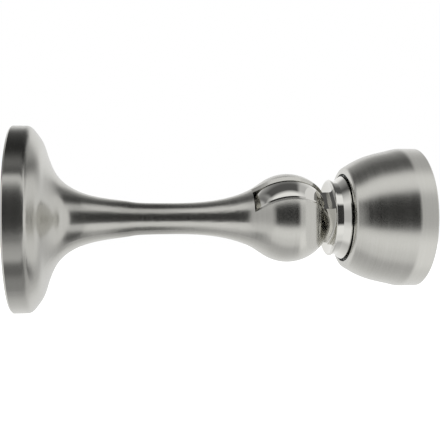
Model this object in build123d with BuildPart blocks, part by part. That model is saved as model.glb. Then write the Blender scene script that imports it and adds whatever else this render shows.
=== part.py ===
from build123d import *
import os
from math import cos, radians, sin, sqrt

# Magnetic door stop with a swivel head, drawn as it stands out from a wall.
# +X runs out from the wall along the stem to the door, +Z is up.
# The origin is the centre of the flat back of the base.

# Overall sizes
overall_length = 89.0
base_diameter = 40.0
cup_diameter = 31.0

# Base and stem
base_edge_width = 3.3
base_edge_ease = 0.4
waist_station = 34.0
waist_diameter = 6.8
flare_steepness = 5.7

# Knuckle
ball_diameter = 19.6
pivot_to_door = 29.35
neck_join_angle = 30.0
hinge_roll = 45.0
slot_width = 5.4
slot_floor_gap = 0.3
slot_end_inset = 1.6
cheek_bevel_depth = 0.9
cheek_bevel_in = 0.55

# Swivel strike
tongue_side_gap = 0.08
tongue_drop = 0.6
tongue_bevel = 0.35
tongue_neck_width = 10.6
tongue_neck_fillet = 1.4
tongue_root_overlap = 1.5
tongue_root_lap = 0.4
tongue_root_round = 0.6
dish_gap = 1.4
dish_depth = 2.2
collar_rim_diameter = 17.0
collar_rim_width = 0.65
collar_rim_round = 0.35
collar_groove_diameter = 16.3
collar_groove_width = 1.25
collar_flare_width = 1.32
strike_diameter = 18.5
strike_land = 2.0
strike_edge_ease = 0.25

# Hinge pin
hinge_pin_diameter = 3.0
hinge_pin_fit = 0.04
hinge_pin_inset = 0.5
hinge_pin_blind_depth = 4.0
hinge_pin_ease = 0.3

# Door cup
cup_band_width = 3.7
cup_lip_wall = 0.55
cup_lip_round = 1.1
cup_lip_turn = 60
cup_lip_lead = 1.55
lip_gap = 0.6
cup_wall = 1.6
cup_bore_taper = 1.3
web_thickness = 2.2
cup_edge_ease = 0.3

# Magnet and its steel pot
magnet_pot_depth = 5.0
magnet_pot_wall = 2.0
magnet_pot_floor = 1.2
magnet_pot_gap = 0.15
magnet_pot_corner = 0.4
magnet_gap = 0.2
magnet_sink = 0.05

# Plates behind the base and the cup
base_plate_thickness = 3.0
base_plate_gap = 0.3
base_recess_wall = 3.0
door_plate_thickness = 2.2
door_plate_gap = 0.3
wall_hole_diameter = 4.5
wall_hole_circle = 24.0
door_hole_diameter = 4.2
door_hole_circle = 18.0
wood_screw_head = 8.0
countersink_angle = 90

# Machine screws and the standoff
stud_diameter = 5.0
stud_head_diameter = 9.2
stud_length = 15.0
cup_screw_diameter = 4.0
cup_screw_head_diameter = 7.5
cup_screw_length = 12.0
screw_clearance = 0.25
tapped_hole_extra = 1.5
standoff_diameter = 9.0
standoff_spigot_diameter = 6.0
screw_sink = 0.15
screw_tip_ease = 0.5
cross_recess_share = 0.5
cross_recess_width = 0.9
cross_recess_depth = 1.4
cross_recess_taper = 12

# Places and sizes that follow from those above
base_radius = base_diameter / 2
waist_radius = waist_diameter / 2
ball_radius = ball_diameter / 2
cup_radius = cup_diameter / 2
strike_radius = strike_diameter / 2
rim_radius = collar_rim_diameter / 2
groove_radius = collar_groove_diameter / 2
pin_radius = hinge_pin_diameter / 2
pivot_x = overall_length - pivot_to_door
join_x = pivot_x - ball_radius * sin(radians(neck_join_angle))
join_radius = ball_radius * cos(radians(neck_join_angle))
cheek_rim_radius = sqrt(ball_radius**2 - (slot_width / 2) ** 2)
slot_floor_radius = ball_radius + slot_floor_gap - tongue_drop
slot_end_distance = ball_radius - slot_end_inset
slot_sweep = ball_diameter + slot_end_distance
tongue_radius = ball_radius - tongue_drop
tongue_thickness = slot_width - 2 * tongue_side_gap
dish_x = pivot_x + ball_radius + dish_gap
rim_x = dish_x - dish_depth
groove_x = rim_x + collar_rim_width
flare_start_x = groove_x + collar_groove_width
collar_edge_x = flare_start_x + collar_flare_width
strike_face_x = collar_edge_x + strike_land
lip_radius = strike_radius + lip_gap
lip_x = strike_face_x - cup_lip_lead
nose_x = lip_x + cup_lip_round * (1 - cos(radians(cup_lip_turn)))
nose_radius = lip_radius + cup_lip_wall + cup_lip_round * sin(radians(cup_lip_turn))
web_front_x = strike_face_x + magnet_pot_depth
web_back_x = web_front_x + web_thickness
band_x = overall_length - cup_band_width
pot_radius = lip_radius - magnet_pot_gap
magnet_radius = pot_radius - magnet_pot_wall - magnet_gap
base_recess_radius = base_radius - base_recess_wall
base_plate_radius = base_recess_radius - base_plate_gap
cup_bore_radius = cup_radius - cup_wall
door_plate_radius = cup_bore_radius - door_plate_gap
door_plate_x = overall_length - door_plate_thickness
hinge_pin_length = ball_radius - hinge_pin_inset + slot_width / 2 + hinge_pin_blind_depth - hinge_pin_ease
dish_curve_radius = (rim_radius**2 + dish_depth**2) / (2 * dish_depth)
neck_reach = dish_x - pivot_x - dish_curve_radius + sqrt(dish_curve_radius**2 - (tongue_neck_width / 2) ** 2)
magnet_x = strike_face_x + magnet_sink
magnet_length = web_front_x - magnet_pot_floor - magnet_x
cup_screw_radius = cup_screw_diameter / 2
cup_screw_x = magnet_x + screw_sink
stud_face_x = screw_sink

# The hinge runs through the middle of the ball, square to the stem.
hinge_axis_direction = (0, -cos(radians(hinge_roll)), -sin(radians(hinge_roll)))
hinge_plane = Plane(origin=(pivot_x, 0, 0), x_dir=(1, 0, 0), z_dir=hinge_axis_direction)
hinge_section = Plane(
    origin=(pivot_x, 0, 0),
    x_dir=(1, 0, 0),
    z_dir=(0, sin(radians(hinge_roll)), -cos(radians(hinge_roll))),
)
hinge_axis = Axis((pivot_x, 0, 0), hinge_axis_direction)
stem_section = Plane(origin=(0, 0, 0), x_dir=(1, 0, 0), z_dir=hinge_section.z_dir)


def across(station):
    """A plane square to the stem, at a station along it, facing the door."""
    return Plane(origin=(station, 0, 0), x_dir=(0, 1, 0), z_dir=(1, 0, 0))


def back_across(station):
    """The same plane facing the wall."""
    return Plane(origin=(station, 0, 0), x_dir=(0, -1, 0), z_dir=(-1, 0, 0))


def flare_point(along, out):
    """A point of the trumpet: shares of the way to the waist and of the spread of the base."""
    return (along * waist_station, waist_radius + out * (base_radius - waist_radius))


# Direction of the trumpet's outline where it is steepest
steepest = (waist_station, -flare_steepness * (base_radius - waist_radius))


def neck_point(along, out):
    """A point of the neck: shares of the way from the waist to the ball and of its growth."""
    return (
        waist_station + along * (join_x - waist_station),
        waist_radius + out * (join_radius - waist_radius),
    )


def cup_point(along, out):
    """A point of the cup's side: shares of the way from the rounded lip to the band."""
    return (
        nose_x + along * (band_x - nose_x),
        nose_radius + out * (cup_radius - nose_radius),
    )


def is_slot_side(face, cheek):
    """The flat side of the slot on the far cheek, -1, or on the near one, 1."""
    hinge_offset = hinge_plane.to_local_coords(face.center()).Z
    return face.geom_type == GeomType.PLANE and abs(hinge_offset - cheek * slot_width / 2) < 0.001


def is_cheek_rim(edge):
    """An edge where a side of the slot leaves the ball."""
    return edge.geom_type == GeomType.CIRCLE and abs(edge.radius - cheek_rim_radius) < 0.001


def is_tongue_root(edge):
    """An edge where a flat side of the tongue meets the dished back of the collar."""
    hinge_offset = hinge_plane.to_local_coords(edge @ 0.5).Z
    beside_tongue = abs(abs(hinge_offset) - tongue_thickness / 2) < 0.001
    at_dish = (edge @ 0.5).X > rim_x
    return beside_tongue and at_dish and edge.length > tongue_neck_fillet


# Base, stem and slotted ball, one turned piece
with BuildPart() as stem_body:
    with BuildSketch(stem_section):
        with BuildLine():
            back = Line((0, 0), (0, base_radius - base_edge_ease))
            ease = Line(back @ 1, (base_edge_ease, base_radius))
            edge = Line(ease @ 1, (base_edge_width, base_radius))
            shoulder = Spline(
                edge @ 1,
                flare_point(0.147, 0.928),
                flare_point(0.185, 0.815),
                flare_point(0.222, 0.600),
                tangents=[(1, -0.1), steepest],
            )
            throat = Spline(
                shoulder @ 1,
                flare_point(0.259, 0.422),
                flare_point(0.297, 0.312),
                flare_point(0.371, 0.197),
                flare_point(0.485, 0.105),
                flare_point(0.709, 0.031),
                flare_point(1.0, 0.0),
                tangents=[steepest, (1, 0)],
            )
            neck = Spline(
                throat @ 1,
                neck_point(0.466, 0.120),
                neck_point(0.697, 0.341),
                neck_point(0.851, 0.610),
                (join_x, join_radius),
                tangents=[(1, 0), (cos(radians(neck_join_angle)), sin(radians(neck_join_angle)))],
            )
            ball = CenterArc((pivot_x, 0), ball_radius, 90 + neck_join_angle, -90 - neck_join_angle)
            Line(ball @ 1, back @ 0)
        make_face()
    revolve(axis=Axis.X)

    # Recess for the base plate and the tapped hole of the stud
    with BuildSketch(across(0)):
        Circle(base_recess_radius)
    extrude(amount=base_plate_thickness, mode=Mode.SUBTRACT)
    with BuildSketch(across(base_plate_thickness)):
        Circle(stud_diameter / 2)
    extrude(amount=stud_face_x + stud_length - base_plate_thickness + tapped_hole_extra, mode=Mode.SUBTRACT)

    # Slot for the tongue, straight ended, and hollowed deeper round the pivot
    with BuildSketch(hinge_plane):
        Circle(slot_floor_radius)
        with Locations((-slot_end_distance, 0)):
            Rectangle(slot_sweep, slot_sweep, align=(Align.MIN, Align.CENTER))
    extrude(amount=slot_width / 2, both=True, mode=Mode.SUBTRACT)

    # Bevels where the two sides of the slot leave the ball
    for cheek in (-1, 1):
        slot_side = stem_body.faces().filter_by(lambda face: is_slot_side(face, cheek))[0]
        rim_edges = slot_side.edges().filter_by(is_cheek_rim)
        chamfer(rim_edges, length=cheek_bevel_in, length2=cheek_bevel_depth, reference=slot_side)

    # Bored for the pin, right through the far cheek and blind in the near one
    with BuildSketch(hinge_plane.offset(slot_width / 2 + hinge_pin_blind_depth)):
        Circle(pin_radius)
    extrude(amount=-2 * ball_radius, mode=Mode.SUBTRACT)
stem_body.part.label = "stem_body"

# Pin of the hinge, pressed into both cheeks
with BuildPart() as hinge_pin:
    with BuildSketch(hinge_plane.offset(hinge_pin_inset - ball_radius)):
        Circle(pin_radius)
    extrude(amount=hinge_pin_length)
    chamfer(hinge_pin.edges().filter_by(GeomType.CIRCLE), hinge_pin_ease)
hinge_pin.part.label = "hinge_pin"

# Head of polished steel, one piece from the tongue to the face that meets the magnet
with BuildPart() as swivel_strike:
    with BuildSketch(Plane.XZ) as strike_profile:
        with BuildLine():
            dish = RadiusArc((dish_x, 0), (rim_x, rim_radius), -dish_curve_radius)
            Polyline(
                dish @ 1,
                (groove_x, rim_radius),
                (groove_x, groove_radius),
                (flare_start_x, groove_radius),
                (collar_edge_x, strike_radius),
                (strike_face_x - strike_edge_ease, strike_radius),
                (strike_face_x, strike_radius - strike_edge_ease),
                (strike_face_x, 0),
                dish @ 0,
            )
        make_face()
        fillet(strike_profile.vertices().sort_by(Axis.X)[0], collar_rim_round)
    revolve(axis=Axis.X)

    # Neck that joins the tongue to the dished back
    with BuildSketch(hinge_plane) as neck_outline:
        with Locations((neck_reach / 2, 0)):
            Rectangle(neck_reach, tongue_neck_width)
        with Locations((neck_reach + tongue_root_overlap / 2, 0)):
            Rectangle(tongue_root_overlap, tongue_neck_width + 2 * (tongue_neck_fillet + tongue_root_lap))
        corners = neck_outline.vertices().group_by(Axis.X)[1].sort_by(Axis.Y)[1:3]
        fillet(corners, tongue_neck_fillet)
    extrude(amount=tongue_thickness / 2, both=True)

    # Round crowned tongue
    with BuildSketch(hinge_section):
        with BuildLine():
            half = tongue_thickness / 2
            crown_edge = sqrt(tongue_radius**2 - (half - tongue_bevel) ** 2)
            crown = ThreePointArc(
                (crown_edge, -(half - tongue_bevel)),
                (tongue_radius, 0),
                (crown_edge, half - tongue_bevel),
            )
            Polyline(
                crown @ 1,
                (crown_edge - tongue_bevel, half),
                (0, half),
                (0, -half),
                (crown_edge - tongue_bevel, -half),
                crown @ 0,
            )
        make_face()
    revolve(axis=hinge_axis)

    # Round the flat sides of the tongue out into the dish
    fillet(swivel_strike.edges().filter_by(is_tongue_root), tongue_root_round)

    # Bore for the pin
    with BuildSketch(hinge_plane):
        Circle(pin_radius + hinge_pin_fit)
    extrude(amount=slot_width, both=True, mode=Mode.SUBTRACT)
swivel_strike.part.label = "swivel_strike"

# Bell of the door cup, hollow from its mouth, with a web behind the magnet
with BuildPart() as door_cup:
    with BuildSketch(Plane.XZ):
        with BuildLine():
            lip = Line((lip_x, lip_radius), (lip_x, lip_radius + cup_lip_wall))
            nose = JernArc(lip @ 1, (0, 1), cup_lip_round, -cup_lip_turn)
            side = Spline(
                nose @ 1,
                cup_point(0.130, 0.232),
                cup_point(0.330, 0.517),
                cup_point(0.574, 0.742),
                cup_point(0.800, 0.900),
                (band_x, cup_radius),
                tangents=[nose % 1, (1, 0)],
            )
            Polyline(
                side @ 1,
                (overall_length - cup_edge_ease, cup_radius),
                (overall_length, cup_radius - cup_edge_ease),
                (overall_length, cup_bore_radius),
                (band_x, cup_bore_radius),
                (web_back_x, cup_bore_radius - cup_bore_taper),
                (web_back_x, cup_screw_radius + screw_clearance),
                (web_front_x, cup_screw_radius + screw_clearance),
                (web_front_x, lip_radius),
                lip @ 0,
            )
        make_face()
    revolve(axis=Axis.X)
door_cup.part.label = "door_cup"

# Steel pot round the magnet
with BuildPart() as magnet_pot:
    with BuildSketch(across(strike_face_x)):
        Circle(pot_radius)
    extrude(amount=magnet_pot_depth)
    with BuildSketch(across(strike_face_x)):
        Circle(pot_radius - magnet_pot_wall)
    extrude(amount=magnet_pot_depth - magnet_pot_floor, mode=Mode.SUBTRACT)
    with BuildSketch(across(web_front_x)):
        Circle(cup_screw_radius + screw_clearance)
    extrude(amount=-magnet_pot_floor, mode=Mode.SUBTRACT)
    fillet(magnet_pot.edges().filter_by(GeomType.CIRCLE).group_by(Axis.X)[-1][-1], magnet_pot_corner)
magnet_pot.part.label = "magnet_pot"

# Ring magnet, countersunk for the screw that holds it
with BuildPart() as ring_magnet:
    with BuildSketch(across(magnet_x)):
        Circle(magnet_radius)
    extrude(amount=magnet_length)
    with Locations(back_across(cup_screw_x)):
        CounterSinkHole(
            cup_screw_radius + screw_clearance,
            cup_screw_head_diameter / 2,
            counter_sink_angle=countersink_angle,
        )
    with BuildSketch(across(magnet_x)):
        Circle(cup_screw_head_diameter / 2)
    extrude(amount=cup_screw_x - magnet_x, mode=Mode.SUBTRACT)
ring_magnet.part.label = "ring_magnet"


def countersunk_screw(face, diameter, head_diameter, length):
    """A countersunk machine screw with a cross recess, its head at a station, its tip towards the door."""
    head_height = (head_diameter - diameter) / 2
    recess_span = cross_recess_share * head_diameter
    with BuildPart() as screw:
        with BuildSketch(Plane.XZ):
            with BuildLine():
                Polyline(
                    (face, 0),
                    (face, head_diameter / 2),
                    (face + head_height, diameter / 2),
                    (face + length - screw_tip_ease, diameter / 2),
                    (face + length, diameter / 2 - screw_tip_ease),
                    (face + length, 0),
                    close=True,
                )
            make_face()
        revolve(axis=Axis.X)
        with BuildSketch(across(face)):
            Rectangle(recess_span, cross_recess_width)
            Rectangle(cross_recess_width, recess_span)
        extrude(amount=cross_recess_depth, mode=Mode.SUBTRACT, taper=cross_recess_taper)
    return screw.part


# Screw through magnet, pot and web into the standoff
cup_screw = countersunk_screw(cup_screw_x, cup_screw_diameter, cup_screw_head_diameter, cup_screw_length)
cup_screw.label = "cup_screw"

# Stud that the base is spun onto
base_stud = countersunk_screw(stud_face_x, stud_diameter, stud_head_diameter, stud_length)
base_stud.label = "base_stud"

# Threaded standoff, its spigot riveted into the door plate
with BuildPart() as standoff:
    with BuildSketch(across(web_back_x)):
        Circle(standoff_diameter / 2)
    extrude(amount=door_plate_x - web_back_x)
    with BuildSketch(across(door_plate_x)):
        Circle(standoff_spigot_diameter / 2)
    extrude(amount=door_plate_thickness)
    with BuildSketch(across(web_back_x)):
        Circle(cup_screw_radius)
    extrude(amount=cup_screw_x + cup_screw_length + tapped_hole_extra - web_back_x, mode=Mode.SUBTRACT)
standoff.part.label = "standoff"

# Plate screwed to the door
with BuildPart() as door_plate:
    with BuildSketch(across(door_plate_x)):
        Circle(door_plate_radius)
        Circle(standoff_spigot_diameter / 2, mode=Mode.SUBTRACT)
    extrude(amount=door_plate_thickness)
    with Locations(back_across(door_plate_x)):
        with PolarLocations(door_hole_circle / 2, 2, start_angle=90):
            CounterSinkHole(
                door_hole_diameter / 2,
                wood_screw_head / 2,
                counter_sink_angle=countersink_angle,
            )
door_plate.part.label = "door_plate"

# Plate screwed to the wall
with BuildPart() as base_plate:
    with BuildSketch(across(0)):
        Circle(base_plate_radius)
    extrude(amount=base_plate_thickness)
    with Locations(across(base_plate_thickness)):
        with PolarLocations(wall_hole_circle / 2, 2, start_angle=90):
            CounterSinkHole(
                wall_hole_diameter / 2,
                wood_screw_head / 2,
                counter_sink_angle=countersink_angle,
            )
    with Locations(back_across(stud_face_x)):
        CounterSinkHole(
            stud_diameter / 2 + screw_clearance,
            stud_head_diameter / 2,
            counter_sink_angle=countersink_angle,
        )
    with BuildSketch(across(0)):
        Circle(stud_head_diameter / 2)
    extrude(amount=stud_face_x, mode=Mode.SUBTRACT)
base_plate.part.label = "base_plate"

os.makedirs("parts", exist_ok=True)
export_step(stem_body.part, "parts/stem_body.step")
export_step(hinge_pin.part, "parts/hinge_pin.step")
export_step(swivel_strike.part, "parts/swivel_strike.step")
export_step(door_cup.part, "parts/door_cup.step")
export_step(magnet_pot.part, "parts/magnet_pot.step")
export_step(ring_magnet.part, "parts/ring_magnet.step")
export_step(cup_screw, "parts/cup_screw.step")
export_step(base_stud, "parts/base_stud.step")
export_step(standoff.part, "parts/standoff.step")
export_step(door_plate.part, "parts/door_plate.step")
export_step(base_plate.part, "parts/base_plate.step")
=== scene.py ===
import math

import bpy
from mathutils import Matrix, Vector

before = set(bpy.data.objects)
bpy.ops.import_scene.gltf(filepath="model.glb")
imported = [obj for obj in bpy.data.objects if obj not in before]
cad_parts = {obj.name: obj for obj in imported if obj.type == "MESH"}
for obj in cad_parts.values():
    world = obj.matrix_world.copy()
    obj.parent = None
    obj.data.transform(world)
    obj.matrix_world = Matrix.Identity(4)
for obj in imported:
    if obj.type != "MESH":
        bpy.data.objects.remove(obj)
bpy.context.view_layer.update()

MM = 0.001


def linear(hex_colour):
    """An sRGB hex colour as linear RGBA."""
    channels = [int(hex_colour[i : i + 2], 16) / 255 for i in (1, 3, 5)]
    return [c / 12.92 if c <= 0.04045 else ((c + 0.055) / 1.055) ** 2.4 for c in channels] + [1.0]


def add(tree, kind, settings=None, **inputs):
    """Adds a node with its own settings, and gives each named input a value or another node's output.

    An input such as To_Min is the socket called To Min. One such as _6 is socket number 6, for nodes
    that have several sockets of one name.
    """
    made = tree.nodes.new(kind)
    for name, value in (settings or {}).items():
        setattr(made, name, value)
    for name, value in inputs.items():
        key = int(name[1:]) if name[1:].isdigit() else name.replace("_", " ")
        if isinstance(value, bpy.types.NodeSocket):
            tree.links.new(value, made.inputs[key])
        else:
            made.inputs[key].default_value = value
    return made


def new_material(name):
    """An empty node material, its node tree and the input for its surface."""
    material = bpy.data.materials.new(name)
    material.use_nodes = True
    material.node_tree.nodes.clear()
    output = material.node_tree.nodes.new("ShaderNodeOutputMaterial")
    return material, material.node_tree, output.inputs["Surface"]


def finish_node(node, material):
    """Gives a CAD node its finish in every slot."""
    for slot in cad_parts[node].material_slots:
        slot.material = material


def turned_lines(tree, line_gap, wander, seed):
    """Fine lines left by a belt or a tool that went round the turned axis.

    The noise changes along the axis and outwards, and strays by wander at most on its way round.
    """
    place = add(tree, "ShaderNodeTexCoord")
    split = add(tree, "ShaderNodeSeparateXYZ", Vector=place.outputs["Object"])
    turn = add(
        tree, "ShaderNodeMath", {"operation": "ARCTAN2"}, _0=split.outputs["Y"], _1=split.outputs["Z"])
    sideways = add(tree, "ShaderNodeCombineXYZ", Y=split.outputs["Y"], Z=split.outputs["Z"])
    radius = add(
        tree, "ShaderNodeVectorMath", {"operation": "LENGTH"}, Vector=sideways.outputs["Vector"])
    swing = add(tree, "ShaderNodeMath", {"operation": "SINE"}, _0=turn.outputs["Value"])
    stray = add(
        tree, "ShaderNodeMath", {"operation": "MULTIPLY"}, _0=swing.outputs["Value"], _1=wander)
    across = add(
        tree, "ShaderNodeCombineXYZ", X=split.outputs["X"], Y=radius.outputs["Value"],
        Z=stray.outputs["Value"])
    return add(
        tree, "ShaderNodeTexNoise", {"noise_dimensions": "4D"}, Vector=across.outputs["Vector"],
        W=seed, Scale=1 / line_gap, Detail=2.0, Roughness=0.6)


def satin_nickel():
    """Nickel plate over turned zinc alloy, brushed round the axis.

    The brushing drags reflections out along the axis and keeps them crisp round it.
    """
    # Real brush lines lie less than 0.1 mm apart, too fine to show, so they are drawn coarser
    line_gap = 0.35 * MM
    line_wander = 0.15 * MM
    line_depth = 0.004 * MM
    material, tree, surface = new_material("satin_nickel_brushed_round")
    lines = turned_lines(tree, line_gap, line_wander, seed=3.0)
    rough = add(
        tree, "ShaderNodeMapRange", Value=lines.outputs["Fac"], To_Min=0.16, To_Max=0.24)
    tone = add(
        tree, "ShaderNodeMix", {"data_type": "RGBA"}, Factor=lines.outputs["Fac"],
        _6=linear("#c4c3bd"), _7=linear("#d0cfca"))
    bump = add(
        tree, "ShaderNodeBump", Strength=0.12, Distance=line_depth, Height=lines.outputs["Fac"])
    around = add(tree, "ShaderNodeTangent", {"direction_type": "RADIAL", "axis": "X"})
    shader = add(
        tree, "ShaderNodeBsdfPrincipled", Base_Color=tone.outputs[2], Metallic=1.0,
        Roughness=rough.outputs["Result"], Anisotropic=0.8,
        Tangent=around.outputs["Tangent"], Normal=bump.outputs["Normal"])
    tree.links.new(shader.outputs["BSDF"], surface)
    return material


def polished_plate():
    """Bright nickel-chrome plate over buffed steel.

    Mirror reflections with the faint waviness that a buffing wheel leaves.
    """
    # Real waves are a few thousandths of a millimetre deep, and are drawn deeper so that they show
    wave_length = 4.0 * MM
    wave_depth = 0.06 * MM
    material, tree, surface = new_material("bright_chrome_buffed")
    place = add(tree, "ShaderNodeTexCoord")
    waves = add(
        tree, "ShaderNodeTexNoise", Vector=place.outputs["Object"], Scale=1 / wave_length, Detail=1.0)
    bump = add(
        tree, "ShaderNodeBump", Strength=0.35, Distance=wave_depth, Height=waves.outputs["Fac"])
    shader = add(
        tree, "ShaderNodeBsdfPrincipled", Base_Color=linear("#dddcd7"), Metallic=1.0, Roughness=0.07,
        Normal=bump.outputs["Normal"])
    tree.links.new(shader.outputs["BSDF"], surface)
    return material


def zinc_plate():
    """Bright zinc plate on pressed and turned steel.

    A bluish grey with small cloudy patches, a little duller than nickel.
    """
    cloud_size = 2.5 * MM
    # The real grain is finer than 0.05 mm, too fine to show, so it is drawn coarser
    grain_size = 0.25 * MM
    grain_depth = 0.006 * MM
    material, tree, surface = new_material("bright_zinc_on_steel")
    place = add(tree, "ShaderNodeTexCoord")
    clouds = add(
        tree, "ShaderNodeTexNoise", Vector=place.outputs["Object"], Scale=1 / cloud_size, Detail=4.0)
    tone = add(
        tree, "ShaderNodeMix", {"data_type": "RGBA"}, Factor=clouds.outputs["Fac"],
        _6=linear("#aeb4ba"), _7=linear("#cfd2d3"))
    rough = add(
        tree, "ShaderNodeMapRange", Value=clouds.outputs["Fac"], To_Min=0.28, To_Max=0.46)
    grain = add(
        tree, "ShaderNodeTexNoise", Vector=place.outputs["Object"], Scale=1 / grain_size, Detail=2.0)
    bump = add(
        tree, "ShaderNodeBump", Strength=0.2, Distance=grain_depth, Height=grain.outputs["Fac"])
    shader = add(
        tree, "ShaderNodeBsdfPrincipled", Base_Color=tone.outputs[2], Metallic=1.0,
        Roughness=rough.outputs["Result"], Normal=bump.outputs["Normal"])
    tree.links.new(shader.outputs["BSDF"], surface)
    return material


def tumbled_nickel():
    """Nickel plate on a sintered and tumbled magnet.

    A bright skin with the fine pitting of the sintered body under it.
    """
    # Real pits are 0.1 mm across or less, too fine to show, so they are drawn coarser
    pit_size = 0.3 * MM
    pit_depth = 0.01 * MM
    material, tree, surface = new_material("nickel_on_sintered_magnet")
    place = add(tree, "ShaderNodeTexCoord")
    pits = add(
        tree, "ShaderNodeTexNoise", Vector=place.outputs["Object"], Scale=1 / pit_size, Detail=3.0)
    bump = add(
        tree, "ShaderNodeBump", Strength=0.3, Distance=pit_depth, Height=pits.outputs["Fac"])
    rough = add(
        tree, "ShaderNodeMapRange", Value=pits.outputs["Fac"], To_Min=0.18, To_Max=0.34)
    shader = add(
        tree, "ShaderNodeBsdfPrincipled", Base_Color=linear("#c4c1ba"), Metallic=1.0,
        Roughness=rough.outputs["Result"], Normal=bump.outputs["Normal"])
    tree.links.new(shader.outputs["BSDF"], surface)
    return material


def ground_steel():
    """Centreless ground steel rod, as a dowel pin is made.

    A fine even grain, darker than plated steel.
    """
    # Real grinding marks are finer than 0.05 mm, too fine to show, so they are drawn coarser
    grain_size = 0.2 * MM
    material, tree, surface = new_material("ground_steel_rod")
    place = add(tree, "ShaderNodeTexCoord")
    grain = add(
        tree, "ShaderNodeTexNoise", Vector=place.outputs["Object"], Scale=1 / grain_size, Detail=3.0)
    tone = add(
        tree, "ShaderNodeMix", {"data_type": "RGBA"}, Factor=grain.outputs["Fac"],
        _6=linear("#9c9c9a"), _7=linear("#b8b8b4"))
    shader = add(
        tree, "ShaderNodeBsdfPrincipled", Base_Color=tone.outputs[2], Metallic=1.0, Roughness=0.32)
    tree.links.new(shader.outputs["BSDF"], surface)
    return material


nickel = satin_nickel()
finish_node("stem_body", nickel)
finish_node("door_cup", nickel)
finish_node("swivel_strike", polished_plate())
zinc = zinc_plate()
for piece in ("magnet_pot", "standoff", "door_plate", "base_plate", "cup_screw", "base_stud"):
    finish_node(piece, zinc)
finish_node("ring_magnet", tumbled_nickel())
finish_node("hinge_pin", ground_steel())


# Camera: level with the stem and a little round towards the base
FRAME_PIXELS = 440
# The size of one pixel at the stem, and the focal length in pixels
PIXEL = 0.221 * MM
FOCAL_PIXELS = 800
SENSOR_WIDTH = 36.0
VIEW_AZIMUTH = math.radians(-7.38)
VIEW_ROLL = math.radians(0.39)
TARGET = Vector((44.64, 0.0, -0.37)) * MM

camera_data = bpy.data.cameras.new("camera")
camera_data.sensor_width = SENSOR_WIDTH
camera_data.lens = SENSOR_WIDTH * FOCAL_PIXELS / FRAME_PIXELS
camera_data.clip_start = 10 * MM
camera_data.clip_end = 20.0
camera = bpy.data.objects.new("camera", camera_data)
bpy.context.scene.collection.objects.link(camera)
bpy.context.scene.camera = camera
level_right = Vector((math.cos(VIEW_AZIMUTH), math.sin(VIEW_AZIMUTH), 0.0))
straight_up = Vector((0.0, 0.0, 1.0))
back = Vector((math.sin(VIEW_AZIMUTH), -math.cos(VIEW_AZIMUTH), 0.0))
right = level_right * math.cos(VIEW_ROLL) - straight_up * math.sin(VIEW_ROLL)
up = level_right * math.sin(VIEW_ROLL) + straight_up * math.cos(VIEW_ROLL)
turn = Matrix((right, up, back)).transposed().to_4x4()
camera.matrix_world = Matrix.Translation(TARGET + back * FOCAL_PIXELS * PIXEL) @ turn


# Floor: pale and well below the part, which hangs on a wall
FLOOR_DROP = 100 * MM
FLOOR_HALF = 3.0
# The floor glows by this much, for the camera alone
FLOOR_LIFT = 0.5

floor_mesh = bpy.data.meshes.new("floor")
corners = [(x * FLOOR_HALF, y * FLOOR_HALF, -FLOOR_DROP) for x, y in ((-1, -1), (1, -1), (1, 1), (-1, 1))]
floor_mesh.from_pydata(corners, [], [(0, 1, 2, 3)])
floor = bpy.data.objects.new("floor", floor_mesh)
bpy.context.scene.collection.objects.link(floor)
floor.visible_glossy = False
floor_paint, tree, surface = new_material("matt_white_floor")
paint = add(tree, "ShaderNodeBsdfDiffuse", Color=linear("#f2f2f0"))
seen = add(tree, "ShaderNodeLightPath")
lift = add(
    tree, "ShaderNodeMath", {"operation": "MULTIPLY"}, _0=seen.outputs["Is Camera Ray"], _1=FLOOR_LIFT)
glow = add(tree, "ShaderNodeEmission", Color=(1, 1, 1, 1), Strength=lift.outputs["Value"])
lit = add(tree, "ShaderNodeAddShader", _0=paint.outputs["BSDF"], _1=glow.outputs["Emission"])
tree.links.new(lit.outputs["Shader"], surface)
floor_mesh.materials.append(floor_paint)


def ring(x, radius, count=96):
    """Points round the stem's line, at a station along it."""
    turns = [2 * math.pi * i / count for i in range(count)]
    return [(x, -radius * math.cos(turn), radius * math.sin(turn)) for turn in turns]


def tube(name, start, end, paint):
    """A round wall between two rings, each a station and a radius, that only reflections see.

    Its painted side is the inner one where the end is further out along the stem, or else the outer one.
    """
    near = ring(*start)
    far = ring(*end)
    count = len(near)
    faces = [(i, (i + 1) % count, count + (i + 1) % count, count + i) for i in range(count)]
    mesh = bpy.data.meshes.new(name)
    mesh.from_pydata(near + far, [], faces)
    mesh.materials.append(paint)
    wall = bpy.data.objects.new(name, mesh)
    bpy.context.scene.collection.objects.link(wall)
    wall.visible_camera = False
    wall.visible_diffuse = False
    wall.visible_transmission = False
    wall.visible_shadow = False


def bands(tree, share, levels):
    """Levels by the angle round the stem in degrees, with 0 on the camera's side and 90 above.

    The share is that angle as a share of the turn from -180 to 180 degrees.
    """
    ramp = add(tree, "ShaderNodeValToRGB", Fac=share)
    stops = ramp.color_ramp.elements
    # A new ramp has two stops, and one is kept to begin with
    stops.remove(stops[1])
    for i, (angle, level) in enumerate(levels.items()):
        position = (angle + 180) / 360
        stop = stops.new(position) if i else stops[0]
        stop.position = position
        stop.color = (level, level, level, 1)
    return ramp.outputs["Color"]


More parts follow.
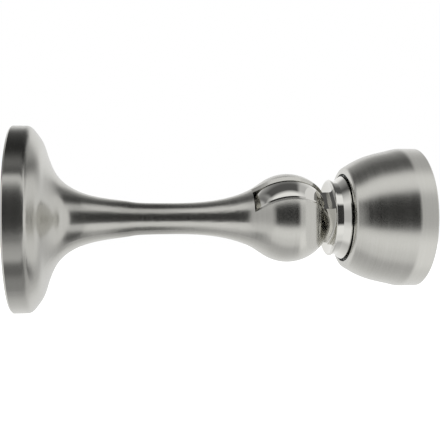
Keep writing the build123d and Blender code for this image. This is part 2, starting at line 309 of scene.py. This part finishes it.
def studio_cloth(name, levels, changes=(), dims=False):
    """Paper that glows, or a net that dims what lies behind it, with levels by the angle round the stem.

    Each change is two stations along the stem, in mm, and the levels that come in between them.
    The cloth is clear from its other side.
    """
    material, tree, surface = new_material(name)
    # Only reflections find the cloth, so it isn't sampled as a lamp
    material.cycles.emission_sampling = "NONE"
    place = add(tree, "ShaderNodeTexCoord")
    split = add(tree, "ShaderNodeSeparateXYZ", Vector=place.outputs["Object"])
    front = add(
        tree, "ShaderNodeMath", {"operation": "MULTIPLY"}, _0=split.outputs["Y"], _1=-1.0)
    angle = add(
        tree, "ShaderNodeMath", {"operation": "ARCTAN2"}, _0=split.outputs["Z"],
        _1=front.outputs["Value"])
    share = add(
        tree, "ShaderNodeMapRange", Value=angle.outputs["Value"], From_Min=-math.pi, From_Max=math.pi)
    level = bands(tree, share.outputs["Result"], levels)
    for start, end, next_levels in changes:
        next_level = bands(tree, share.outputs["Result"], next_levels)
        along = add(
            tree, "ShaderNodeMapRange", {"interpolation_type": "SMOOTHSTEP"},
            Value=split.outputs["X"], From_Min=start * MM, From_Max=end * MM)
        blend = add(
            tree, "ShaderNodeMix", {"data_type": "RGBA"}, Factor=along.outputs["Result"],
            _6=level, _7=next_level)
        level = blend.outputs[2]
    kind = "ShaderNodeBsdfTransparent" if dims else "ShaderNodeEmission"
    cloth = add(tree, kind, Color=level)
    side = add(tree, "ShaderNodeNewGeometry")
    clear = add(tree, "ShaderNodeBsdfTransparent")
    one_sided = add(
        tree, "ShaderNodeMixShader", Fac=side.outputs["Backfacing"], _1=cloth.outputs[0],
        _2=clear.outputs["BSDF"])
    tree.links.new(one_sided.outputs["Shader"], surface)
    return material


# Studio: a long paper tent round the stem's line, seen only in the part's reflections
TENT_RADIUS = 176 * MM
TENT_START = -320 * MM
TENT_END = 190 * MM

# Levels by angle in degrees: back, under, front sweep, the camera's dark gap, top light, roof, back
TENT_LEFT = {
    -180: 1.0, -130: 0.9, -50: 0.95, -28: 0.75, -16: 0.55, 26: 0.56, 45: 0.72, 60: 0.9, 74: 0.75,
    84: 0.55, 108: 0.5, 130: 0.5, 144: 0.7, 154: 1.0, 180: 1.0}
TENT_FRONT = {
    -180: 0.9, -140: 0.95, -108: 0.65, -84: 0.5, -72: 0.85, -60: 0.85, -48: 1.0, -27: 1.0,
    -18: 0.035, 36: 0.04, 44: 1.0, 70: 1.0, 81: 0.1, 104: 0.11, 132: 0.45, 144: 1.0, 180: 1.0}
TENT_RIGHT = {
    -180: 1.0, -130: 0.95, -98: 0.88, -84: 1.05, -40: 1.05, -26: 0.8, -14: 0.63, 32: 0.65,
    46: 0.98, 66: 1.02, 84: 0.55, 110: 0.57, 132: 0.8, 150: 1.05, 180: 1.0}
tent_paper = studio_cloth("tent_paper", TENT_LEFT, [(-108, -58, TENT_FRONT), (118, 150, TENT_RIGHT)])
tube("paper_tent", (TENT_START, TENT_RADIUS), (TENT_END, TENT_RADIUS), tent_paper)

# Screen: a paper cone from the tent in towards the knuckle, that base and stem see and the cup doesn't
SCREEN_HOLE = 44 * MM
SCREEN_LEAN = 0.37
SCREEN_FOOT = 55.5 * MM
SCREEN = {
    -180: 0.8, -156: 0.75, -132: 0.65, -96: 0.5, -84: 0.42, -74: 0.35, -60: 0.35, -52: 0.8,
    -28: 0.85, -19: 0.05, 36: 0.06, 43: 0.95, 66: 0.95, 74: 0.1, 98: 0.1, 110: 0.35, 132: 0.45,
    146: 0.7, 180: 1.0}
screen_rim = (SCREEN_FOOT + SCREEN_LEAN * TENT_RADIUS, TENT_RADIUS)
screen_hole = (SCREEN_FOOT + SCREEN_LEAN * SCREEN_HOLE, SCREEN_HOLE)
tube("paper_screen", screen_rim, screen_hole, studio_cloth("screen_paper", SCREEN))

# Net: close round the base and the stem, it dims the paper that they see
NET_RADIUS = 24 * MM
NET_START = -40 * MM
NET_END = 48 * MM
BASE_NET = {
    -180: 1.0, -66: 1.0, -54: 0.6, -44: 0.42, -38: 0.2, -31: 0.2, -27: 0.6, -14: 0.5, -11: 1.0,
    20: 1.0, 23: 0.95, 29: 0.95, 32: 0.1, 40: 0.22, 54: 0.2, 64: 0.35, 78: 0.3, 95: 1.0, 180: 1.0}
NO_NET = {-180: 1.0, 180: 1.0}
STEM_NET = {
    -180: 0.7, -120: 0.75, -92: 0.8, -84: 0.22, -60: 0.22, -52: 0.85, -19: 1.0, 38: 0.9, 42: 0.7,
    66: 0.7, 72: 0.4, 90: 0.4, 120: 0.5, 140: 0.7, 180: 1.0}
net_changes = [(6, 13, NO_NET), (20, 29, STEM_NET), (30, 46, NO_NET)]
net_cloth = studio_cloth("net_cloth", BASE_NET, net_changes, dims=True)
tube("net", (NET_START, NET_RADIUS), (NET_END, NET_RADIUS), net_cloth)


# Room: plain white for the camera, and a little darker past the ends of the tent
ROOM_LEVEL = 0.85

world = bpy.data.worlds.new("white_room")
bpy.context.scene.world = world
world.use_nodes = True
tree = world.node_tree
tree.nodes.clear()
rays = add(tree, "ShaderNodeLightPath")
level = add(
    tree, "ShaderNodeMapRange", Value=rays.outputs["Is Camera Ray"], To_Min=ROOM_LEVEL, To_Max=1.0)
sky = add(tree, "ShaderNodeBackground", Color=(1, 1, 1, 1), Strength=level.outputs["Result"])
output = add(tree, "ShaderNodeOutputWorld")
tree.links.new(sky.outputs["Background"], output.inputs["Surface"])


# Lamp: one soft box above, for the shadow on the floor
LAMP_SIDE = 0.5
LAMP_POWER = 2.0
LAMP_PLACE = (0.05, -0.1, 0.6)
LAMP_LEAN = math.radians(-9)

lamp_data = bpy.data.lights.new("top_softbox", "AREA")
lamp_data.shape = "SQUARE"
lamp_data.size = LAMP_SIDE
lamp_data.energy = LAMP_POWER
lamp = bpy.data.objects.new("top_softbox", lamp_data)
lamp.location = LAMP_PLACE
lamp.rotation_euler = (LAMP_LEAN, 0, 0)
lamp.visible_glossy = False
bpy.context.scene.collection.objects.link(lamp)

bpy.context.scene.view_settings.view_transform = "Standard"
